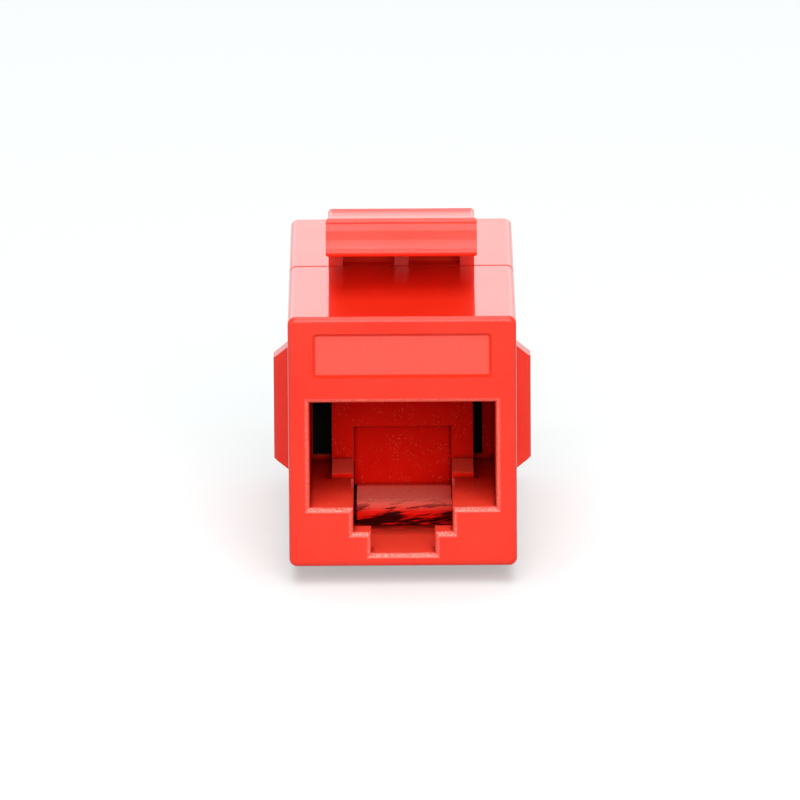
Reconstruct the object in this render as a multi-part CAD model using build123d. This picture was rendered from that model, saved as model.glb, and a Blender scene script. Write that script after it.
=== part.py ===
from build123d import *
import os

# Snap-in 8P8C inline coupler: two moulded shells, two contact carriers, sixteen spring contacts, one board.
# Millimetres. X is to the right, Y runs from the front port to the rear port, Z is up.
# The origin is the centre of the front port's mouth, on the front face.
# Both ports hold the same carrier and contacts, the rear ones turned half round.

# Shells
body_width = 14.5
body_height = 16.23
front_shell_length = 15.5
rear_shell_length = 15.0
body_corner_radius = 0.5
face_edge_radius = 0.35
rear_edge_radius = 0.45
seam_edge_radius = 0.2
floor_under_slot = 0.84

# Port mouth: plug space with two latch steps under it
port_width = 11.84
port_height = 6.86
latch_step_width = 6.33
latch_step_depth = 1.6
latch_slot_width = 4.07
latch_slot_depth = 1.38
mouth_edge_radius = 0.35
mouth_frame_thickness = 2.0
latch_ramp_start = 8.3
latch_ramp_radius = 0.9
latch_ramp_side_gap = 0.2

# Contact carrier
carrier_back_thickness = 2.1
carrier_width = 9.1
carrier_clearance = 0.05
flange_thickness = 0.65
flange_margin = 0.05
roof_plate_thickness = 1.1
roof_plate_front = 3.0
roof_plate_nose_radius = 0.3
carrier_window_height = 2.5
carrier_window_depth = 1.0
carrier_foot_start = 8.4
carrier_foot_height = 0.35
tongue_thickness = 0.8
tongue_side_gap = 0.2
tongue_front_gap = 0.12
flange_opening_height = 6.4
left_opening_width = 1.25
right_opening_width = 0.6
comb_slot_width = 0.6
comb_slot_height = 2.7
comb_slot_depth = 0.8
tail_recess_depth = 0.8
tail_recess_wall = 0.4

# Spring contacts
contact_count = 8
contact_pitch = 1.016
wire_diameter = 0.36
wire_clearance = 0.03
wire_bend_radius = 0.42
wire_end_drop = 2.35
wire_end_setback = 0.4
tail_rows = (1.1, -0.1)
rear_tail_drop = 2.5
tail_overhang = 0.3

# Board and the spigot joint of the shells
board_thickness = 1.3
board_clearance = 0.05
board_hole_diameter = 0.5
spigot_thickness = 0.6
spigot_length = 1.55
spigot_clearance = 0.05
spigot_inner_width = 11.9
spigot_inner_top = 5.3
spigot_inner_bottom = 5.65

# Blank label recess in the front face
label_width = 11.4
label_height = 2.9
label_drop = 1.05
label_depth = 0.25
label_corner_radius = 0.3
label_wall_slope = 38

# Side wings, which stop against the back of the panel frame
wing_start = 10.0
wing_thickness = 1.7
wing_projection = 1.0
wing_outer_height = 6.6
wing_slant_rise = 0.8
wing_chamfer = 0.2
wing_root = 0.5

# Fixed hook under the front shell
hook_start = 6.55
hook_thickness = 1.4
hook_projection = 1.2
hook_width = 10.0
hook_lead = 0.5
hook_root = 0.5

# Sprung latch on the rear shell
arm_width = 9.4
wedge_width = 9.65
rib_width = 0.93
root_depth = 2.3
web_thickness = 0.9
pocket_height = 1.4
pocket_reach = 2.2
arm_thickness = 1.0
arm_root_height = 1.08
nose_height = 2.58
nose_start = 6.2
nose_thickness = 0.48
wedge_height = 4.74
catch_start = 8.2
crest_width = 0.25
ramp_hollow = 0.22
notch_width = 2.0
pad_length = 3.8
pad_height = 4.1
pad_dish = 0.12
pad_edge_radius = 0.25
wedge_edge_radius = 0.2
latch_shoulder_radius = 0.6
latch_foot_radius = 0.35

# Reach of a search for edges in a plane
edge_search = 0.001

# Places worked out from the sizes
total_length = front_shell_length + rear_shell_length
middle = total_length / 2
port_top = port_height / 2
port_floor = -port_height / 2
latch_step_floor = port_floor - latch_step_depth
latch_slot_floor = latch_step_floor - latch_slot_depth
body_bottom = latch_slot_floor - floor_under_slot
body_top = body_bottom + body_height
body_middle = (body_top + body_bottom) / 2
board_front = middle - board_thickness / 2
plug_depth = board_front - carrier_back_thickness
tail_recess_width = carrier_width - 2 * tail_recess_wall
flange_front = board_front - flange_thickness
shoulder = flange_front - carrier_clearance
carrier_top = port_top + roof_plate_thickness
wire_radius = wire_diameter / 2
top_groove_depth = wire_diameter + wire_clearance
contact_places = [(i - (contact_count - 1) / 2) * contact_pitch for i in range(contact_count)]


def block(x_low, x_high, y_low, y_high, z_low, z_high):
    """A box between two corners."""
    size = (x_high - x_low, y_high - y_low, z_high - z_low)
    centre = ((x_low + x_high) / 2, (y_low + y_high) / 2, (z_low + z_high) / 2)
    return Pos(*centre) * Box(*size)


def wide_block(width, y_low, y_high, z_low, z_high):
    """A box centred on the coupler's middle plane."""
    return block(-width / 2, width / 2, y_low, y_high, z_low, z_high)


def side_profile(edges, width):
    """A closed outline in the Y-Z plane, extruded to both sides of the middle plane."""
    return extrude(Plane.YZ * make_face(edges), amount=width / 2, both=True)


def to_rear(shape):
    """The same shape turned half round to face the rear."""
    return Pos(0, total_length, 0) * Rot(0, 0, 180) * shape


def edges_at(shape, y):
    """Edges that lie in the plane across the coupler at y."""
    return shape.edges().filter_by_position(Axis.Y, y - edge_search, y + edge_search)


def shell_body(y_start, y_end, start_radius, end_radius):
    """A rounded rectangular bar with rounded ends."""
    section = Plane.XZ * RectangleRounded(body_width, body_height, body_corner_radius)
    bar = Pos(0, y_end, body_middle) * extrude(section, amount=y_end - y_start)
    bar = fillet(edges_at(bar, y_start), start_radius)
    return fillet(edges_at(bar, y_end), end_radius)


def mouth_outline():
    """The stepped port outline on the front face."""
    half_port = port_width / 2
    half_step = latch_step_width / 2
    half_slot = latch_slot_width / 2
    right = [
        (half_port, port_top),
        (half_port, port_floor),
        (half_step, port_floor),
        (half_step, latch_step_floor),
        (half_slot, latch_step_floor),
        (half_slot, latch_slot_floor),
    ]
    left = [(-x, z) for x, z in reversed(right)]
    return make_face(Polyline(*right, *left, close=True))


def port_space():
    """Everything that is cut out of a shell for its port, carrier and contacts."""
    mouth = extrude(Plane.XZ * mouth_outline(), amount=-mouth_frame_thickness)
    plug = wide_block(port_width, 0, shoulder, port_floor, port_top)
    ramp_top = latch_ramp_start + latch_ramp_radius
    channel_outline = Polyline(
        (ramp_top, port_floor),
        (mouth_frame_thickness, port_floor),
        (mouth_frame_thickness, latch_slot_floor),
        (latch_ramp_start, latch_slot_floor),
        (latch_ramp_start, latch_step_floor - latch_ramp_radius),
    )
    ramp_bend = RadiusArc(channel_outline @ 1, (ramp_top, latch_step_floor), latch_ramp_radius)
    channel = side_profile(channel_outline + ramp_bend + Line(ramp_bend @ 1, (ramp_top, port_floor)),
                           latch_step_width)
    ramp_gap = block(-latch_step_width / 2, -latch_step_width / 2 + latch_ramp_side_gap,
                     latch_ramp_start, ramp_top, latch_slot_floor, port_floor)
    tongue_seat = wide_block(latch_step_width, ramp_top, shoulder,
                             latch_step_floor - tongue_thickness - carrier_clearance, port_floor)
    wire_front = roof_plate_front - wire_diameter - 2 * wire_clearance
    plate_seat = wide_block(carrier_width + 2 * carrier_clearance, wire_front - carrier_clearance, shoulder,
                            port_top, carrier_top + carrier_clearance)
    return mouth + plug + channel + ramp_gap + tongue_seat + plate_seat


def round_mouth(shell, y):
    """Rounds the port's outline on the end face at y."""
    half_mouth = port_width / 2 + mouth_edge_radius
    around = edges_at(shell, y).filter_by_position(Axis.X, -half_mouth, half_mouth)
    lowest = latch_slot_floor - mouth_edge_radius
    highest = port_top + mouth_edge_radius
    return fillet(around.filter_by_position(Axis.Z, lowest, highest), mouth_edge_radius)


def joint_space(grow):
    """The rectangular space that the spigot fills, grown by a clearance."""
    width = spigot_inner_width + 2 * spigot_thickness + 2 * grow
    top = spigot_inner_top + spigot_thickness + grow
    bottom = -spigot_inner_bottom - spigot_thickness - grow
    return wide_block(width, shoulder, front_shell_length, bottom, top)


def side_wing():
    """The right wing: a slanted plate with a chamfered outer edge."""
    inner = body_width / 2 - wing_root
    outer = body_width / 2 + wing_projection
    half_outer = wing_outer_height / 2
    half_inner = half_outer + wing_slant_rise * (wing_projection + wing_root) / wing_projection
    corners = [(inner, -half_inner), (outer, -half_outer), (outer, half_outer), (inner, half_inner)]
    outline = Plane.XZ * make_face(Polyline(*corners, close=True))
    plate = Pos(0, wing_start + wing_thickness, body_middle) * extrude(outline, wing_thickness)
    outer_edge = edges_at(plate, wing_start).sort_by(Axis.X)[-1]
    return chamfer(outer_edge, wing_chamfer)


def fixed_hook():
    """The fixed hook under the front shell, with a slanted lead on its front."""
    top = body_bottom + hook_root
    bottom = body_bottom - hook_projection
    rear = hook_start + hook_thickness
    outline = Polyline((hook_start, top), (rear, top), (rear, bottom), (hook_start + hook_lead, bottom),
                       (hook_start, bottom + hook_lead), close=True)
    return side_profile(outline, hook_width)


def label_recess():
    """Shallow blank recess with sloping walls."""
    outline = RectangleRounded(label_width, label_height, label_corner_radius)
    centre = body_top - label_drop - label_height / 2
    return Pos(0, 0, centre) * extrude(Plane.XZ * outline, amount=-label_depth, taper=label_wall_slope)


def front_housing():
    body = shell_body(0, front_shell_length, face_edge_radius, seam_edge_radius)
    wing = side_wing()
    body = body + wing + mirror(wing, about=Plane.YZ) + fixed_hook()
    body = round_mouth(body - port_space(), 0)
    return body - joint_space(spigot_clearance) - label_recess()


def underside(y):
    """Height of the sprung arm's underside over the shell's top."""
    rise = (nose_height - arm_root_height) / (front_shell_length - nose_start)
    return arm_root_height + rise * (front_shell_length - y)


def latch_arm():
    """Root, arm and press pad in one side outline."""
    root_rear = front_shell_length + root_depth
    pad_start = catch_start + notch_width
    pad_end = pad_start + pad_length
    shoulder_height = underside(front_shell_length) + arm_thickness
    below = -seam_edge_radius
    corner = (root_rear, shoulder_height)
    bottom = Polyline(
        (root_rear, below),
        (front_shell_length, below),
        (front_shell_length, arm_root_height),
        (nose_start + nose_thickness / 2, nose_height),
        (catch_start, underside(catch_start) + arm_thickness),
        (pad_start, underside(pad_start) + arm_thickness),
        (pad_start, pad_height),
    )
    dish = ThreePointArc((pad_start, pad_height), (pad_start + pad_length / 2, pad_height - pad_dish),
                         (pad_end, pad_height))
    back = FilletPolyline((pad_end, pad_height), (pad_end, underside(pad_end) + arm_thickness), corner,
                          (root_rear, below), radius=latch_shoulder_radius)
    arm = side_profile(bottom + dish + back, arm_width)
    pad_sides = arm.edges().filter_by(GeomType.CIRCLE).group_by(Axis.Z)[-1]
    return Pos(0, 0, body_top) * fillet(pad_sides, pad_edge_radius)


def latch_wedge():
    """The wedge at the arm's free end: round nose, hollow ramp, upright catch face."""
    nose_top = nose_height + nose_thickness
    ramp_start = (nose_start + nose_thickness / 2, nose_top)
    crest = (catch_start - crest_width, wedge_height)
    ramp = SagittaArc(ramp_start, crest, -ramp_hollow)
    nose = ThreePointArc((nose_start + nose_thickness / 2, nose_height),
                         (nose_start, nose_height + nose_thickness / 2), ramp_start)
    rest = Polyline(crest, (catch_start, wedge_height), (catch_start, nose_height),
                    (nose_start + nose_thickness / 2, nose_height))
    wedge = side_profile(nose + ramp + rest, wedge_width)
    front_view = RectangleRounded(wedge_width, wedge_height - nose_height, wedge_edge_radius)
    middle_height = (wedge_height + nose_height) / 2
    rounded = Pos(0, 0, middle_height) * extrude(Plane.XZ * front_view, amount=-catch_start)
    return Pos(0, 0, body_top) * (wedge & rounded)


def latch_pockets():
    """The two pockets that leave three ribs under the arm's root."""
    outer = arm_width / 2 - rib_width
    inner = rib_width / 2
    front = front_shell_length - pocket_reach
    back = front_shell_length + root_depth - web_thickness
    pocket = block(inner, outer, front, back, body_top, body_top + pocket_height)
    return pocket + mirror(pocket, about=Plane.YZ)


def rear_housing():
    body = shell_body(front_shell_length, total_length, seam_edge_radius, rear_edge_radius)
    latch = latch_arm() + latch_wedge() - latch_pockets()
    spigot = joint_space(0)
    spigot = spigot & block(-body_width, body_width, front_shell_length - spigot_length, front_shell_length,
                            body_bottom, body_top)
    inner = wide_block(spigot_inner_width, 0, total_length - shoulder, -spigot_inner_bottom, spigot_inner_top)
    body = body + spigot + latch
    foot = edges_at(body, front_shell_length + root_depth).filter_by(Axis.X).sort_by(Axis.Z)[0]
    body = fillet(foot, latch_foot_radius)
    body = round_mouth(body - to_rear(port_space()), total_length)
    return body - inner


def contact_carrier():
    """The comb insert of one port: roof plate, back wall, feet, tongue and flange."""
    back_start = plug_depth
    half_width = carrier_width / 2
    half_opening = flange_opening_height / 2
    wall = wide_block(carrier_width, back_start, board_front, port_floor, carrier_top)
    plate = wide_block(carrier_width, roof_plate_front, back_start, port_top, carrier_top)
    flange = wide_block(spigot_inner_width - 2 * flange_margin, flange_front, board_front,
                        latch_step_floor, spigot_inner_top - flange_margin)
    tongue_front = latch_ramp_start + latch_ramp_radius + tongue_front_gap
    tongue = block(-latch_step_width / 2 + tongue_side_gap, latch_step_width / 2 - carrier_clearance,
                   tongue_front, shoulder, latch_step_floor - tongue_thickness, latch_step_floor)
    tongue_root = wide_block(latch_step_width - 2 * carrier_clearance, back_start + carrier_window_depth,
                             board_front, latch_step_floor, port_floor)
    feet = wide_block(carrier_width, carrier_foot_start, back_start,
                      port_floor, port_floor + carrier_foot_height)
    window = wide_block(latch_step_width, carrier_foot_start, back_start + carrier_window_depth,
                        latch_step_floor, port_floor + carrier_window_height)
    left_opening = block(-half_width - left_opening_width, -half_width, flange_front, board_front,
                         -half_opening, half_opening)
    right_opening = block(half_width, half_width + right_opening_width, flange_front, board_front,
                          -half_opening, half_opening)
    body = wall + plate + flange + tongue_root + feet - window - left_opening - right_opening + tongue
    for x in contact_places:
        half_slot = comb_slot_width / 2
        body -= block(x - half_slot, x + half_slot, back_start, back_start + comb_slot_depth,
                      port_top - comb_slot_height, port_top)
        half_groove = wire_radius + wire_clearance
        body -= block(x - half_groove, x + half_groove, roof_plate_front, board_front,
                      carrier_top - top_groove_depth, spigot_inner_top)
    recess_floor = min(tail_rows) - rear_tail_drop - wire_diameter
    recess_front = board_front - tail_recess_depth
    body -= wide_block(tail_recess_width, recess_front, board_front, recess_floor, spigot_inner_top)
    groove_floor = carrier_top - top_groove_depth
    plate_nose = edges_at(body, roof_plate_front) + edges_at(body, recess_front)
    across = plate_nose.filter_by(Axis.X)
    turns = across.filter_by_position(Axis.Z, groove_floor - edge_search, groove_floor + edge_search)
    lower_nose = edges_at(body, roof_plate_front).filter_by(Axis.X).sort_by(Axis.Z)[0]
    return fillet(turns + [lower_nose], roof_plate_nose_radius)


def contact_wire(x, row):
    """One spring contact: tail through the board, rise, run over the plate, wrap and sloping beam."""
    run_height = carrier_top - top_groove_depth + wire_radius + wire_clearance / 2
    rise_at = board_front - tail_recess_depth + wire_radius + wire_clearance / 2
    wrap_at = roof_plate_front - wire_radius - wire_clearance
    beam_height = port_top - wire_radius - wire_clearance
    path = FilletPolyline(
        (x, board_front + board_thickness + tail_overhang, row),
        (x, rise_at, row),
        (x, rise_at, run_height),
        (x, wrap_at, run_height),
        (x, wrap_at, beam_height),
        (x, plug_depth + wire_end_setback, port_top - wire_end_drop),
        radius=wire_bend_radius,
    )
    return sweep(Plane(path @ 0, z_dir=path % 0) * Circle(wire_radius), path=path)


def tail_row(index, drop):
    """Height of a contact's tail: neighbours are staggered in two rows."""
    return tail_rows[index % 2] - drop


def circuit_board():
    board = wide_block(spigot_inner_width - 2 * board_clearance, board_front, board_front + board_thickness,
                       -spigot_inner_bottom + board_clearance, spigot_inner_top - board_clearance)
    drill = extrude(Plane.XZ * Circle(board_hole_diameter / 2), amount=-board_thickness)
    for index, x in enumerate(contact_places):
        board -= Pos(x, board_front, tail_row(index, 0)) * drill
        board -= Pos(-x, board_front, tail_row(index, rear_tail_drop)) * drill
    return board


def all_nodes():
    nodes = {
        "front_housing": front_housing(),
        "rear_housing": rear_housing(),
        "front_contact_carrier": contact_carrier(),
        "rear_contact_carrier": to_rear(contact_carrier()),
        "circuit_board": circuit_board(),
    }
    for index, x in enumerate(contact_places):
        nodes[f"front_contact_{index + 1}"] = contact_wire(x, tail_row(index, 0))
        nodes[f"rear_contact_{index + 1}"] = to_rear(contact_wire(x, tail_row(index, rear_tail_drop)))
    return nodes


os.makedirs("parts", exist_ok=True)
for name, shape in all_nodes().items():
    export_step(shape, f"parts/{name}.step")
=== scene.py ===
import math

import bpy
from mathutils import Matrix, Vector


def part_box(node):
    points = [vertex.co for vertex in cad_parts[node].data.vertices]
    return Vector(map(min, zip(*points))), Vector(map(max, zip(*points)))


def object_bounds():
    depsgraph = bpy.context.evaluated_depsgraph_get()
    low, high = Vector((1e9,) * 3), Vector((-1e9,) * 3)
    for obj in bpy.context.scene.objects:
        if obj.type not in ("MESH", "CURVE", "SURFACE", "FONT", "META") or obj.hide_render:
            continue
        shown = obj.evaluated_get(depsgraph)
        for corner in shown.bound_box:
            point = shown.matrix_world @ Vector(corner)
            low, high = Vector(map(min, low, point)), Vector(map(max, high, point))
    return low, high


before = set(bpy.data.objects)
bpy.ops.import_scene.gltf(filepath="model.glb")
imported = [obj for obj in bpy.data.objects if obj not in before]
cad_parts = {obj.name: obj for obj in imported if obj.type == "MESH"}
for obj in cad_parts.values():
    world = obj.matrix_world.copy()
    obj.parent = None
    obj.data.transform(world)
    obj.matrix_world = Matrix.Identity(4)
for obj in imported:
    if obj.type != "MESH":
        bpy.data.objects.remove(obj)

# Looks of a red snap-in network coupler: moulded shells, inserts, gold contacts, board, floor, light, camera.
# Places and sizes are in metres in the part's own frame: X right, Y front to rear, Z up.

MM = 0.001
cad_lowest, cad_highest = [Vector(corner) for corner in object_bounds()]
total_length = cad_highest.y
middle_depth = total_length / 2
body_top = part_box("front_housing")[1].z

# Zones of the port, which is the same at both ends
mouth_rounding = 0.4 * MM
mouth_frame = 2.05 * MM
port_side = 6.2 * MM
port_roof = 3.75 * MM
port_floor = -3.43 * MM
channel_side = 3.3 * MM
channel_bottom = -6.7 * MM
tongue_top = -5.03 * MM
tongue_bottom = tongue_top - 0.9 * MM
tongue_margin = 0.02 * MM
tongue_front = 9 * MM
panel_front = 13 * MM
rim_start = 0.03 * MM
rim_margin = 0.2 * MM

# Tool marks in the latch channel: the depths over which they set in, the heights of the painted shade that
# darkens them towards the bottom and of the painted highlight band at their top, their slant and stretch
streak_start = 5 * MM
streak_full = 8 * MM
painted_shade_top = -5.1 * MM
painted_shade_bottom = -6.1 * MM
highlight_band = 0.5 * MM
mark_slant = math.radians(-9)
mark_stretch = (9, 1.6, 1)

# Pockets between the ribs under the latch arm
rib_half_width = 0.5 * MM
pocket_side = 3.75 * MM
pocket_front = 15.6 * MM
pocket_back = 17.1 * MM
pocket_height = 1.5 * MM

# Label field: half width, how far its ends lie under the body's top, and the depths that hold its floor
label_half_width = 5.45 * MM
label_upper = 1.3 * MM
label_lower = 3.7 * MM
label_floor = 0.2 * MM
label_back = 0.4 * MM

# How far zones fade out at their borders
hair_fade = 0.03 * MM
sharp_fade = 0.05 * MM
soft_fade = 0.1 * MM

# The paper lies a hair under the hook, so that their faces don't share a plane
floor_gap = 0.02 * MM
paper_half_side = 0.7

# Camera: measured from the photograph's foreshortened top face
camera_pitch = math.radians(12.8)
camera_roll = math.radians(-0.35)
camera_distance = 780 * MM
camera_aim_rise = 5.22 * MM
camera_aim_side = 0.146 * MM
camera_nearest = 0.05
camera_farthest = 20
focal_length_px = 12324
frame_width_px = 800
sensor_width_mm = 36

# Light levels, where 1 shows as full white
ambient_level = 0.15
key_level = 5.4
upper_level = 4.5
right_level = 0.2
left_level = 1.3
low_front_level = 3.3
overhead_level = 1.9
rear_overhead_level = 1.5
backdrop_level = 0.6

# Ranges are pairs of ends
zero_to_one = (0, 1)
one_to_zero = (1, 0)

# Ranges of a noise texture's value, which gathers round 0.5
whole_noise = (0.3, 0.7)
patch_noise = (0.35, 0.65)
edge_noise = (0.42, 0.62)
speck_noise = (0.45, 0.6)
mark_noise = (0.43, 0.6)
crease_noise = (0.35, 0.6)
frost_noise = (0.48, 0.62)
sparkle_noise = (0.52, 0.6)
lip_noise = (0.45, 0.6)

# Strength of an effect at the two ends of the range that drives it
edge_strength = (0.35, 1)
crease_strength = (0.6, 1)
label_sheen_strength = (0.7, 1)
lip_strength = (0.25, 0.8)
lip_gloss_loss = (0.6, 0)
port_ledge_strength = (0.5, 1)
insert_ledge_strength = (0.65, 1)
tongue_strength = (0, 0.8)
weave_strength = (0.3, 1)

# Ranges of roughness and gloss over a surface
shell_coat = (0.86, 1)
shell_roughness = (0.3, 0.4)
insert_roughness = (0.3, 0.45)
gold_roughness = (0.16, 0.3)
board_roughness = (0.45, 0.6)
paper_roughness = (0.9, 1)

# Shares of painted highlights, painted shade and painted glints laid over the base colour
edge_highlight_share = 0.5
crease_shade_share = 0.35
lip_highlight_share = 0.5
painted_highlight_share = 0.6


def linear(red, green, blue):
    """A screen colour from 0 to 255 as the linear colour that Blender's sockets take."""
    def channel(value):
        value = value / 255
        if value <= 0.04045:
            return value / 12.92
        return ((value + 0.055) / 1.055) ** 2.4
    return (channel(red), channel(green), channel(blue), 1)


# Colours of the shells' outside, with painted highlights on edges and lips, painted shade in creases, painted
# light in the pockets under the latch arm, painted sheen on the label field and painted glints on the lips
shell_red = linear(245, 46, 24)
shell_light_red = linear(249, 53, 30)
painted_edge_highlight_red = linear(252, 84, 62)
painted_crease_shade_red = linear(170, 12, 4)
painted_pocket_light_red = linear(255, 62, 38)
painted_label_sheen_red = linear(253, 90, 75)
painted_lip_highlight_red = linear(255, 104, 86)
painted_lip_glint = linear(255, 216, 204)

# Colours inside the ports, with painted shade in sheltered places, in creases and down the latch channel,
# painted light on ledges, painted glints on specks and a painted highlight on the channel's tool marks
port_red = linear(240, 22, 8)
port_light_red = linear(252, 34, 16)
painted_port_deep_shade = linear(150, 7, 2)
painted_port_ledge_light = linear(255, 84, 62)
painted_port_glint = linear(255, 128, 112)
painted_port_crease_shade = linear(90, 4, 1)
# Painted shade down the latch channel, the tool marks' own red, and their painted highlight
painted_channel_shade = linear(60, 2, 1)
plain_mark_red = linear(242, 24, 10)
painted_mark_highlight = linear(255, 124, 108)

# Colours of the inserts, with painted shade in sheltered places and creases, painted light on ledges and on
# the tongue, and painted highlights and glints on edges, specks and the tongue
insert_red = linear(242, 24, 8)
insert_light_red = linear(254, 38, 18)
painted_insert_deep_shade = linear(206, 13, 4)
painted_insert_highlight = linear(252, 118, 98)
painted_insert_ledge_light = linear(255, 94, 74)
painted_insert_crease_shade = linear(84, 4, 1)
painted_tongue_light_red = linear(255, 112, 96)
painted_tongue_glint = linear(255, 190, 176)

# Colours of the contacts, the board and the paper, already linear where they are written as shares of 1
dull_gold = (0.93, 0.68, 0.28, 1)
bright_gold = (0.98, 0.79, 0.42, 1)
board_black = linear(8, 8, 9)
weave_black = linear(22, 23, 24)
paper_glow = (0.37, 0.4, 0.4, 1)
paper_white = (0.585, 0.585, 0.585, 1)
paper_bounce = (0.45, 0.45, 0.45, 1)
no_glow = (0, 0, 0, 1)


# Node helpers

def new_group(name, inputs, outputs):
    """An empty node group with named sockets: inputs are (name, kind, default), outputs (name, kind)."""
    group = bpy.data.node_groups.new(name, "ShaderNodeTree")
    for socket_name, kind, default in inputs:
        socket = group.interface.new_socket(socket_name, in_out="INPUT", socket_type=kind)
        if default is not None:
            socket.default_value = default
    for socket_name, kind in outputs:
        group.interface.new_socket(socket_name, in_out="OUTPUT", socket_type=kind)
    entry = group.nodes.new("NodeGroupInput")
    leave = group.nodes.new("NodeGroupOutput")
    return group, entry, leave


def add(tree, kind, **values):
    """A node whose attributes and input sockets are set by name."""
    node = tree.nodes.new(kind)
    for key, value in values.items():
        if hasattr(node, key):
            setattr(node, key, value)
        else:
            node.inputs[key.replace("_", " ")].default_value = value
    return node


def plug(tree, source, target, name):
    """Link an output socket, or set a constant, on a named or numbered input."""
    socket = target.inputs[name]
    if isinstance(source, bpy.types.NodeSocket):
        tree.links.new(source, socket)
    else:
        socket.default_value = source


def calculate(tree, operation, first, second=None):
    """The result of a maths operation on one or two values."""
    node = add(tree, "ShaderNodeMath", operation=operation)
    plug(tree, first, node, 0)
    if second is not None:
        plug(tree, second, node, 1)
    return node.outputs[0]


def multiply(tree, first, second):
    """The product of two values."""
    return calculate(tree, "MULTIPLY", first, second)


def spread(tree, value, source, target):
    """Map a value from one range to another, clamped."""
    node = add(tree, "ShaderNodeMapRange")
    plug(tree, value, node, "Value")
    plug(tree, source[0], node, "From Min")
    plug(tree, source[1], node, "From Max")
    plug(tree, target[0], node, "To Min")
    plug(tree, target[1], node, "To Max")
    return node.outputs["Result"]


def blend_colours(tree, mask, first, second):
    """The first colour where the mask is 0, the second where it is 1."""
    node = add(tree, "ShaderNodeMix", data_type="RGBA")
    plug(tree, mask, node, 0)
    plug(tree, first, node, 6)
    plug(tree, second, node, 7)
    return node.outputs[2]


def noise(tree, vector, scale, detail=2, roughness=0.5):
    """The value of a noise texture."""
    node = add(tree, "ShaderNodeTexNoise")
    plug(tree, vector, node, "Vector")
    plug(tree, scale, node, "Scale")
    plug(tree, detail, node, "Detail")
    plug(tree, roughness, node, "Roughness")
    return node.outputs["Fac"]


def per_size(tree, size):
    """Texture scale for a feature size in metres."""
    return calculate(tree, "DIVIDE", 1, size)


def part_axes(tree, place):
    """Distance from the middle plane, depth from the nearer end face, height, and place along Y."""
    parts = add(tree, "ShaderNodeSeparateXYZ")
    plug(tree, place, parts, "Vector")
    across = calculate(tree, "ABSOLUTE", parts.outputs["X"])
    from_rear = calculate(tree, "SUBTRACT", total_length, parts.outputs["Y"])
    depth = calculate(tree, "MINIMUM", parts.outputs["Y"], from_rear)
    return {"across": across, "depth": depth, "up": parts.outputs["Z"], "along": parts.outputs["Y"]}


def within(tree, value, ends, fade):
    """A mask that is 1 between two places and fades outside them."""
    low, high = ends
    rises = spread(tree, value, (low - fade, low), zero_to_one)
    falls = spread(tree, value, (high, high + fade), one_to_zero)
    return multiply(tree, rises, falls)


def zone(tree, axes, half_width, depths, heights, fade):
    """A mask for a block at both ends of the coupler: 1 inside, fading outside."""
    mask = spread(tree, axes["across"], (half_width, half_width + fade), one_to_zero)
    mask = multiply(tree, mask, within(tree, axes["depth"], depths, fade))
    return multiply(tree, mask, within(tree, axes["up"], heights, fade))


# Effects that several materials share

def moulded_skin_group():
    """Moulded plastic: orange peel, fine spark-eroded grain and slow clouding, by feature size."""
    group, entry, leave = new_group(
        "moulded_skin",
        [("Place", "NodeSocketVector", None), ("Peel Size", "NodeSocketFloat", 0.6 * MM),
         ("Grain Size", "NodeSocketFloat", 0.06 * MM), ("Grain Share", "NodeSocketFloat", 0.3),
         ("Cloud Size", "NodeSocketFloat", 5 * MM)],
        [("Height", "NodeSocketFloat"), ("Cloud", "NodeSocketFloat"), ("Grain", "NodeSocketFloat")],
    )
    place = entry.outputs["Place"]
    peel = noise(group, place, per_size(group, entry.outputs["Peel Size"]), detail=1)
    grain = noise(group, place, per_size(group, entry.outputs["Grain Size"]), detail=2, roughness=0.6)
    cloud = noise(group, place, per_size(group, entry.outputs["Cloud Size"]), detail=3, roughness=0.55)
    height = calculate(group, "ADD", peel, multiply(group, grain, entry.outputs["Grain Share"]))
    group.links.new(height, leave.inputs["Height"])
    group.links.new(spread(group, cloud, whole_noise, zero_to_one), leave.inputs["Cloud"])
    group.links.new(grain, leave.inputs["Grain"])
    return group


def edge_group():
    """A mask that is 1 on sharp edges within a radius, broken up by noise, which the materials use as a
    painted edge highlight, and the rounded normal there.
    """
    flat_to_turned = (0.995, 0.85)
    group, entry, leave = new_group(
        "edge_highlight_and_rounding",
        [("Place", "NodeSocketVector", None), ("Radius", "NodeSocketFloat", 0.1 * MM),
         ("Break Size", "NodeSocketFloat", 0.3 * MM)],
        [("Edge", "NodeSocketFloat"), ("Normal", "NodeSocketVector")],
    )
    rounding = add(group, "ShaderNodeBevel", samples=6)
    plug(group, entry.outputs["Radius"], rounding, "Radius")
    geometry = add(group, "ShaderNodeNewGeometry")
    facing = add(group, "ShaderNodeVectorMath", operation="DOT_PRODUCT")
    plug(group, rounding.outputs["Normal"], facing, 0)
    plug(group, geometry.outputs["Normal"], facing, 1)
    turned = spread(group, facing.outputs["Value"], flat_to_turned, zero_to_one)
    breaks = noise(group, entry.outputs["Place"], per_size(group, entry.outputs["Break Size"]), detail=2)
    broken = spread(group, breaks, edge_noise, edge_strength)
    group.links.new(multiply(group, turned, broken), leave.inputs["Edge"])
    group.links.new(rounding.outputs["Normal"], leave.inputs["Normal"])
    return group


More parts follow.
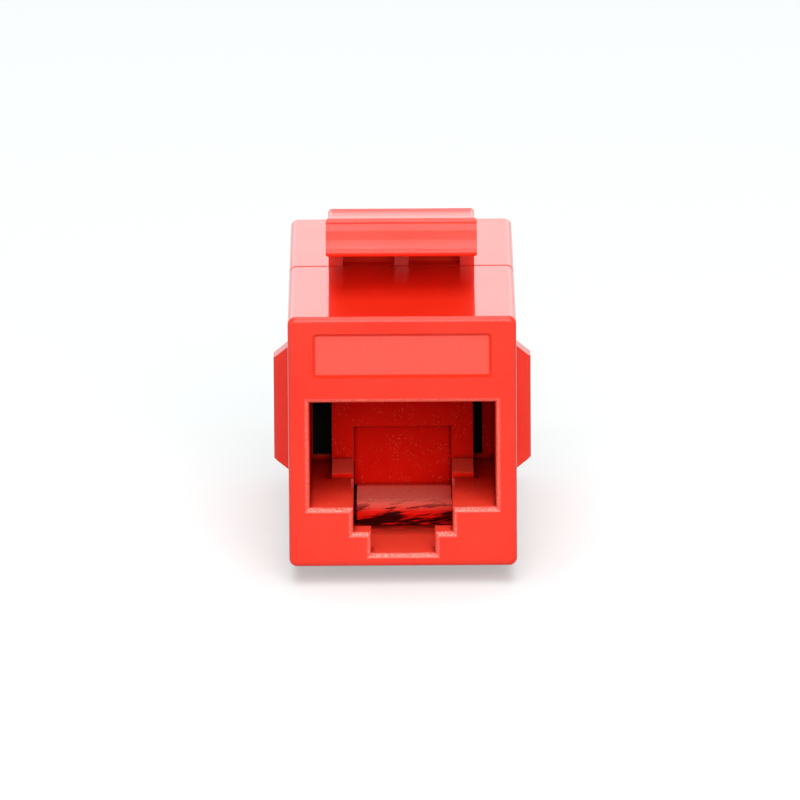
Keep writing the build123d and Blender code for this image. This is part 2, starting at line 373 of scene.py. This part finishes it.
def speck_group():
    """Sparse tiny bright specks: a mask that the materials use for painted glints, and in the insert also for
    relief.
    """
    group, entry, leave = new_group(
        "specks",
        [("Place", "NodeSocketVector", None), ("Spacing", "NodeSocketFloat", 0.4 * MM),
         ("Speck Share", "NodeSocketFloat", 0.12), ("Patch Size", "NodeSocketFloat", 1.1 * MM)],
        [("Speck", "NodeSocketFloat")],
    )
    place = entry.outputs["Place"]
    cells = add(group, "ShaderNodeTexVoronoi")
    plug(group, place, cells, "Vector")
    plug(group, per_size(group, entry.outputs["Spacing"]), cells, "Scale")
    dot = spread(group, cells.outputs["Distance"], (entry.outputs["Speck Share"], 0), zero_to_one)
    patches = noise(group, place, per_size(group, entry.outputs["Patch Size"]), detail=1)
    patch_mask = spread(group, patches, speck_noise, zero_to_one)
    group.links.new(multiply(group, dot, patch_mask), leave.inputs["Speck"])
    return group


def tool_mark_group():
    """Long scratches of the mould maker's tool, drawn out along X and slanting a little."""
    group, entry, leave = new_group(
        "tool_marks",
        [("Place", "NodeSocketVector", None), ("Mark Size", "NodeSocketFloat", 0.15 * MM)],
        [("Mark", "NodeSocketFloat")],
    )
    drawn_out = add(group, "ShaderNodeMapping", vector_type="TEXTURE")
    plug(group, entry.outputs["Place"], drawn_out, "Vector")
    plug(group, (0, mark_slant, 0), drawn_out, "Rotation")
    plug(group, mark_stretch, drawn_out, "Scale")
    marks = noise(group, drawn_out.outputs["Vector"], per_size(group, entry.outputs["Mark Size"]),
                  detail=4, roughness=0.62)
    group.links.new(spread(group, marks, mark_noise, zero_to_one), leave.inputs["Mark"])
    return group


def crevice_group():
    """Masks for painted shade in creases where walls meet and in sheltered places, and for painted light on
    ledges that face up.
    """
    deep_openness = (0.1, 0.47)
    crease_openness = (0.3, 0.85)
    ledge_tilt = (0.4, 0.8)
    group, entry, leave = new_group(
        "creases",
        [("Place", "NodeSocketVector", None), ("Reach", "NodeSocketFloat", 0.5 * MM),
         ("Deep Reach", "NodeSocketFloat", 9 * MM), ("Break Size", "NodeSocketFloat", 0.2 * MM)],
        [("Crease", "NodeSocketFloat"), ("Deep", "NodeSocketFloat"), ("Ledge", "NodeSocketFloat")],
    )
    shelter = add(group, "ShaderNodeAmbientOcclusion", samples=8)
    plug(group, entry.outputs["Deep Reach"], shelter, "Distance")
    group.links.new(spread(group, shelter.outputs["AO"], deep_openness, one_to_zero), leave.inputs["Deep"])
    openness = add(group, "ShaderNodeAmbientOcclusion", samples=8)
    plug(group, entry.outputs["Reach"], openness, "Distance")
    crease = spread(group, openness.outputs["AO"], crease_openness, one_to_zero)
    breaks = noise(group, entry.outputs["Place"], per_size(group, entry.outputs["Break Size"]), detail=3)
    broken = spread(group, breaks, crease_noise, crease_strength)
    group.links.new(multiply(group, crease, broken), leave.inputs["Crease"])
    geometry = add(group, "ShaderNodeNewGeometry")
    facing = add(group, "ShaderNodeSeparateXYZ")
    plug(group, geometry.outputs["Normal"], facing, "Vector")
    group.links.new(spread(group, facing.outputs["Z"], ledge_tilt, zero_to_one), leave.inputs["Ledge"])
    return group


moulded_skin = moulded_skin_group()
edge_highlight_and_rounding = edge_group()
specks = speck_group()
tool_marks = tool_mark_group()
creases = crevice_group()


def new_material(name):
    """A node material with its shader and the part's own coordinates."""
    material = bpy.data.materials.new(name)
    material.use_nodes = True
    tree = material.node_tree
    shader = tree.nodes["Principled BSDF"]
    place = add(tree, "ShaderNodeTexCoord").outputs["Object"]
    return material, tree, shader, place


def use_group(tree, group, place, **values):
    """A shared effect placed in a material with its own values."""
    node = add(tree, "ShaderNodeGroup", node_tree=group)
    plug(tree, place, node, "Place")
    for key, value in values.items():
        node.inputs[key.replace("_", " ")].default_value = value
    return node


def bump(tree, height, normal, strength, depth):
    """The normal of a surface with this relief."""
    node = add(tree, "ShaderNodeBump")
    plug(tree, strength, node, "Strength")
    plug(tree, depth, node, "Distance")
    plug(tree, height, node, "Height")
    if normal is not None:
        plug(tree, normal, node, "Normal")
    return node.outputs["Normal"]


# Materials

def arm_pockets(tree, axes):
    """A mask for the two pockets between the ribs under the latch arm."""
    heights = (body_top - sharp_fade, body_top + pocket_height)
    mask = within(tree, axes["along"], (pocket_front, pocket_back), sharp_fade)
    mask = multiply(tree, mask, within(tree, axes["across"], (rib_half_width, pocket_side), sharp_fade))
    return multiply(tree, mask, within(tree, axes["up"], heights, sharp_fade))


def outside_colour(tree, skin, edges, folds, pockets, label, rim, sparkle):
    """Colour of the shells' outside: painted highlights on edges, painted shade in creases, painted light in
    the pockets under the latch arm, painted sheen on the label field, and a painted highlight and glints on
    the lips.
    """
    edge = multiply(tree, edges.outputs["Edge"], edge_highlight_share)
    crease = multiply(tree, folds.outputs["Crease"], crease_shade_share)
    painted_frost_sheen = multiply(tree, label, spread(tree, skin.outputs["Grain"], whole_noise, label_sheen_strength))
    colour = blend_colours(tree, skin.outputs["Cloud"], shell_red, shell_light_red)
    # Painted highlight on the edges
    colour = blend_colours(tree, edge, colour, painted_edge_highlight_red)
    # Painted shade in the creases
    colour = blend_colours(tree, crease, colour, painted_crease_shade_red)
    # Painted light in the pockets under the latch arm
    colour = blend_colours(tree, pockets, colour, painted_pocket_light_red)
    # Painted sheen on the label field, broken up by the grain
    colour = blend_colours(tree, painted_frost_sheen, colour, painted_label_sheen_red)
    # Painted highlight on the mouth's lips
    colour = blend_colours(tree, multiply(tree, rim, lip_highlight_share), colour, painted_lip_highlight_red)
    # Painted glints on the lips
    return blend_colours(tree, sparkle, colour, painted_lip_glint)


def port_colour(tree, grain, folds, dots):
    """Colour of the ports' inside: painted shade where it is sheltered and in creases, painted light on its
    ledges, with painted glints on fine specks.
    """
    ledge_shelter = (0, 0.9)
    deep = folds.outputs["Deep"]
    ledge = multiply(tree, folds.outputs["Ledge"], spread(tree, grain, whole_noise, port_ledge_strength))
    ledge = multiply(tree, ledge, spread(tree, deep, ledge_shelter, one_to_zero))
    colour = blend_colours(tree, grain, port_red, port_light_red)
    # Painted shade where the port is sheltered
    colour = blend_colours(tree, deep, colour, painted_port_deep_shade)
    # Painted light on ledges that face up
    colour = blend_colours(tree, ledge, colour, painted_port_ledge_light)
    # Painted glints on the specks
    colour = blend_colours(tree, multiply(tree, dots.outputs["Speck"], painted_highlight_share), colour, painted_port_glint)
    # Painted shade in the creases
    return blend_colours(tree, folds.outputs["Crease"], colour, painted_port_crease_shade)


def channel_marks_painted_shade_and_highlight(tree, up, mark):
    """Colour of the latch channel: tool marks with a painted highlight at the top, darkened towards the
    bottom by painted shade.
    """
    average_mark = 0.5
    shade_to_lit = (0.1, 0.6)
    # Painted shade towards the bottom of the channel, broken up by the tool marks
    lit_share = spread(tree, up, (painted_shade_bottom, painted_shade_top), zero_to_one)
    lit_share = calculate(tree, "ADD", lit_share, calculate(tree, "SUBTRACT", mark, average_mark))
    lit_share = spread(tree, lit_share, shade_to_lit, zero_to_one)
    # Painted highlight along a band at the top
    painted_highlight = spread(tree, up, (painted_shade_top - highlight_band, painted_shade_top), zero_to_one)
    mark_colour = blend_colours(tree, painted_highlight, plain_mark_red, painted_mark_highlight)
    return blend_colours(tree, lit_share, painted_channel_shade, mark_colour)


def shell_material():
    """Glossy red moulded shell: matt inside the ports, with tool marks in each latch channel, and painted
    highlights, shade, light, sheen and glints in its colour.
    """
    material, tree, shader, place = new_material("red_gloss_shell")
    axes = part_axes(tree, place)
    skin = use_group(tree, moulded_skin, place, Peel_Size=1.1 * MM, Grain_Size=0.07 * MM, Grain_Share=0.12,
                     Cloud_Size=6 * MM)
    edges = use_group(tree, edge_highlight_and_rounding, place, Radius=0.09 * MM, Break_Size=0.35 * MM)
    dots = use_group(tree, specks, place, Spacing=0.26 * MM, Speck_Share=0.32, Patch_Size=0.9 * MM)
    marks = use_group(tree, tool_marks, place, Mark_Size=0.24 * MM)
    folds = use_group(tree, creases, place, Reach=0.45 * MM, Break_Size=0.25 * MM)
    grain = skin.outputs["Grain"]
    cloud = skin.outputs["Cloud"]
    mark = marks.outputs["Mark"]

    inside = zone(tree, axes, port_side, (mouth_rounding, middle_depth), (channel_bottom, port_roof),
                  soft_fade)
    pockets = arm_pockets(tree, axes)
    channel = zone(tree, axes, channel_side, (mouth_frame, middle_depth), (channel_bottom, port_floor),
                   sharp_fade)
    channel = multiply(tree, channel, spread(tree, axes["depth"], (streak_start, streak_full), zero_to_one))
    label = zone(tree, axes, label_half_width, (label_floor, label_back),
                 (body_top - label_lower, body_top - label_upper), soft_fade)
    # The mouth's rounded lips: a painted highlight over all of them, and painted glints on those that face
    # up, which also raise relief and break the coat
    rim = zone(tree, axes, port_side + mouth_rounding, (rim_start, mouth_rounding),
               (channel_bottom - rim_margin, port_roof + rim_margin), hair_fade)
    lip = multiply(tree, rim, spread(tree, folds.outputs["Ledge"], zero_to_one, lip_strength))
    sparkle = multiply(tree, lip, spread(tree, grain, sparkle_noise, zero_to_one))

    outer = outside_colour(tree, skin, edges, folds, pockets, label, rim, sparkle)
    inner = port_colour(tree, grain, folds, dots)
    # Painted shade darkens the latch channel towards its bottom, and a painted highlight lights the top of
    # its tool marks
    inner = blend_colours(tree, channel, inner, channel_marks_painted_shade_and_highlight(tree, axes["up"], mark))
    plug(tree, blend_colours(tree, inside, outer, inner), shader, "Base Color")

    matt = calculate(tree, "MAXIMUM", inside, pockets)
    gloss = multiply(tree, spread(tree, cloud, zero_to_one, shell_coat),
                     spread(tree, matt, zero_to_one, one_to_zero))
    broken = multiply(tree, lip, spread(tree, grain, lip_noise, lip_gloss_loss))
    plug(tree, calculate(tree, "SUBTRACT", gloss, broken), shader, "Coat Weight")
    plug(tree, spread(tree, cloud, zero_to_one, shell_roughness), shader, "Roughness")
    relief = calculate(tree, "ADD", sparkle, multiply(tree, channel, mark))
    height = calculate(tree, "ADD", skin.outputs["Height"], relief)
    normal = bump(tree, height, edges.outputs["Normal"], strength=0.25, depth=0.014 * MM)
    plug(tree, normal, shader, "Normal")
    shader.inputs["Specular IOR Level"].default_value = 0.02
    shader.inputs["Coat Roughness"].default_value = 0.06
    shader.inputs["Coat IOR"].default_value = 1.38
    return material


def insert_material():
    """Satin red moulded insert with fine specks and a frosted tongue, whose colour has painted shade in
    hollows and creases, painted light on its ledges and tongue, and painted highlights and glints on its
    edges, specks and tongue.
    """
    material, tree, shader, place = new_material("red_satin_insert")
    axes = part_axes(tree, place)
    skin = use_group(tree, moulded_skin, place, Peel_Size=0.5 * MM, Grain_Size=0.05 * MM, Grain_Share=0.6,
                     Cloud_Size=3 * MM)
    edges = use_group(tree, edge_highlight_and_rounding, place, Radius=0.07 * MM, Break_Size=0.2 * MM)
    dots = use_group(tree, specks, place, Spacing=0.2 * MM, Speck_Share=0.36, Patch_Size=0.8 * MM)
    folds = use_group(tree, creases, place, Reach=0.45 * MM, Break_Size=0.2 * MM)
    grain = skin.outputs["Grain"]
    tongue = zone(tree, axes, channel_side, (tongue_front, panel_front),
                  (tongue_bottom, tongue_top + tongue_margin), sharp_fade)

    light = calculate(tree, "MAXIMUM", edges.outputs["Edge"], dots.outputs["Speck"])
    ledge = multiply(tree, folds.outputs["Ledge"], spread(tree, grain, patch_noise, insert_ledge_strength))
    painted_frost_sheen = multiply(tree, tongue, spread(tree, grain, frost_noise, tongue_strength))
    colour = blend_colours(tree, skin.outputs["Cloud"], insert_red, insert_light_red)
    # Painted shade in sheltered places
    colour = blend_colours(tree, folds.outputs["Deep"], colour, painted_insert_deep_shade)
    # Painted highlights on the edges and painted glints on the specks
    colour = blend_colours(tree, multiply(tree, light, painted_highlight_share), colour, painted_insert_highlight)
    # Painted light on ledges that face up
    colour = blend_colours(tree, ledge, colour, painted_insert_ledge_light)
    # Painted shade in the creases
    colour = blend_colours(tree, folds.outputs["Crease"], colour, painted_insert_crease_shade)
    # Painted light and sheen on the tongue, then painted glints on it
    colour = blend_colours(tree, tongue, colour, painted_tongue_light_red)
    colour = blend_colours(tree, painted_frost_sheen, colour, painted_tongue_glint)
    plug(tree, colour, shader, "Base Color")
    plug(tree, spread(tree, grain, whole_noise, insert_roughness), shader, "Roughness")

    relief = calculate(tree, "ADD", dots.outputs["Speck"], multiply(tree, tongue, grain))
    height = calculate(tree, "ADD", skin.outputs["Height"], relief)
    normal = bump(tree, height, edges.outputs["Normal"], strength=0.3, depth=0.012 * MM)
    plug(tree, normal, shader, "Normal")
    shader.inputs["Specular IOR Level"].default_value = 0.02
    return material


def gold_material():
    """Gold-plated drawn wire: fine lengthwise drawing lines and duller patches."""
    drawing_squeeze = (1, 0.06, 1)
    lines_per_metre = 26000
    patches_per_metre = 700
    material, tree, shader, place = new_material("gold_contact_wire")
    along = add(tree, "ShaderNodeMapping")
    along.inputs["Scale"].default_value = drawing_squeeze
    plug(tree, place, along, "Vector")
    lines = noise(tree, along.outputs["Vector"], lines_per_metre, detail=3, roughness=0.6)
    patches = noise(tree, place, patches_per_metre, detail=3)
    bright = spread(tree, patches, patch_noise, zero_to_one)
    plug(tree, blend_colours(tree, bright, dull_gold, bright_gold), shader, "Base Color")
    plug(tree, spread(tree, patches, patch_noise, gold_roughness), shader, "Roughness")
    plug(tree, bump(tree, lines, None, strength=0.4, depth=0.006 * MM), shader, "Normal")
    shader.inputs["Metallic"].default_value = 1
    return material


def board_material():
    """Black solder-masked board with the glass cloth's weave faintly showing."""
    weave_pitch = 0.5 * MM
    wave_bands = 20
    clouds_per_metre = 500
    material, tree, shader, place = new_material("black_board")
    threads = []
    for direction in ("X", "Z"):
        wave = add(tree, "ShaderNodeTexWave", wave_type="BANDS", bands_direction=direction)
        plug(tree, place, wave, "Vector")
        plug(tree, 1 / weave_pitch / wave_bands, wave, "Scale")
        threads.append(wave.outputs["Fac"])
    weave = multiply(tree, *threads)
    clouds = noise(tree, place, clouds_per_metre, detail=3)
    shown = multiply(tree, weave, spread(tree, clouds, whole_noise, weave_strength))
    plug(tree, blend_colours(tree, shown, board_black, weave_black), shader, "Base Color")
    plug(tree, spread(tree, clouds, whole_noise, board_roughness), shader, "Roughness")
    plug(tree, bump(tree, weave, None, strength=0.3, depth=0.01 * MM), shader, "Normal")
    shader.inputs["Specular IOR Level"].default_value = 0.05
    return material


def dress_nodes():
    """Give every node of the coupler its finish."""
    shell = shell_material()
    insert = insert_material()
    gold = gold_material()
    board = board_material()
    for name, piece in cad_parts.items():
        if name.endswith("housing"):
            finish = shell
        elif name.endswith("carrier"):
            finish = insert
        elif name == "circuit_board":
            finish = board
        else:
            finish = gold
        piece.data.materials.clear()
        piece.data.materials.append(finish)


# Floor, light and camera

def floor_material():
    """White paper that keeps the coupler's shadow."""
    fibres_per_metre = 1500
    material, tree, shader, place = new_material("white_paper_floor")
    fibres = noise(tree, place, fibres_per_metre, detail=4)
    rays = add(tree, "ShaderNodeLightPath")
    seen = calculate(tree, "MAXIMUM", rays.outputs["Is Camera Ray"], rays.outputs["Is Glossy Ray"])
    plug(tree, blend_colours(tree, seen, paper_bounce, paper_white), shader, "Base Color")
    plug(tree, spread(tree, fibres, whole_noise, paper_roughness), shader, "Roughness")
    plug(tree, blend_colours(tree, seen, no_glow, paper_glow), shader, "Emission Color")
    shader.inputs["Emission Strength"].default_value = 1
    shader.inputs["Specular IOR Level"].default_value = 0
    return material


def floor():
    """A square of white paper under the coupler."""
    half = paper_half_side
    height = cad_lowest.z - floor_gap
    corners = [(-half, -half, height), (half, -half, height), (half, half, height), (-half, half, height)]
    mesh = bpy.data.meshes.new("paper_floor")
    mesh.from_pydata(corners, [], [(0, 1, 2, 3)])
    mesh.materials.append(floor_material())
    sheet = bpy.data.objects.new("paper_floor", mesh)
    bpy.context.scene.collection.objects.link(sheet)


def softbox(name, place, width, height, level):
    """A rectangular lamp that faces the coupler, with its level as the brightness seen in a mirror."""
    middle = (cad_lowest + cad_highest) / 2
    lamp = bpy.data.lights.new(name, "AREA")
    lamp.shape = "RECTANGLE"
    lamp.size = width
    lamp.size_y = height
    lamp.energy = level * math.pi * width * height
    holder = bpy.data.objects.new(name, lamp)
    holder.location = place
    holder.rotation_euler = (Vector(place) - middle).to_track_quat("Z", "Y").to_euler()
    holder.visible_camera = False
    bpy.context.scene.collection.objects.link(holder)


def lamps():
    """A studio's softboxes: the key and its neighbours in front, two overhead and a glow on the backdrop."""
    softbox("key_softbox", place=(0.1, -1.1, 0.56), width=0.8, height=0.6, level=key_level)
    softbox("upper_softbox", place=(0, -0.77, 0.985), width=0.95, height=0.36, level=upper_level)
    softbox("right_softbox", place=(0.75, -0.96, 0.26), width=0.6, height=0.55, level=right_level)
    softbox("left_softbox", place=(-0.75, -0.96, 0.26), width=0.6, height=0.55, level=left_level)
    softbox("low_front_softbox", place=(0.42, -1.12, 0.15), width=0.4, height=0.26, level=low_front_level)
    softbox("overhead_softbox", place=(0, -0.015, 1.2), width=0.9, height=1.35, level=overhead_level)
    softbox("rear_overhead_softbox", place=(0, 0.23, 1.21), width=0.6, height=0.66, level=rear_overhead_level)
    softbox("backdrop_glow", place=(0, 1.2, 0.27), width=1.6, height=0.36, level=backdrop_level)


def white_room():
    """An even white room: full white where it is seen or mirrored, dimmer as a source of light."""
    world = bpy.data.worlds.new("white_room")
    bpy.context.scene.world = world
    world.use_nodes = True
    tree = world.node_tree
    backdrop = tree.nodes["Background"]
    backdrop.inputs["Color"].default_value = (1, 1, 1, 1)
    rays = add(tree, "ShaderNodeLightPath")
    seen = calculate(tree, "MAXIMUM", rays.outputs["Is Camera Ray"], rays.outputs["Is Glossy Ray"])
    seen = calculate(tree, "MAXIMUM", seen, rays.outputs["Is Transmission Ray"])
    plug(tree, spread(tree, seen, zero_to_one, (ambient_level, 1)), backdrop, "Strength")


def camera():
    """The photograph's viewpoint: a long lens from the front, looking down a little."""
    view = bpy.data.cameras.new("camera")
    view.lens = focal_length_px / frame_width_px * sensor_width_mm
    view.sensor_width = sensor_width_mm
    view.clip_start = camera_nearest
    view.clip_end = camera_farthest
    holder = bpy.data.objects.new("camera", view)
    forward = Vector((0, math.cos(camera_pitch), -math.sin(camera_pitch)))
    upward = Vector((0, math.sin(camera_pitch), math.cos(camera_pitch)))
    top_edge = Vector((-camera_aim_side, 0, body_top))
    place = top_edge - forward * camera_distance - upward * camera_aim_rise
    tilt = Matrix.Rotation(math.pi / 2 - camera_pitch, 4, "X")
    roll = Matrix.Rotation(camera_roll, 4, "Z")
    holder.matrix_world = Matrix.Translation(place) @ tilt @ roll
    bpy.context.scene.collection.objects.link(holder)
    bpy.context.scene.camera = holder


dress_nodes()
floor()
lamps()
white_room()
camera()
bpy.context.scene.view_settings.view_transform = "Standard"
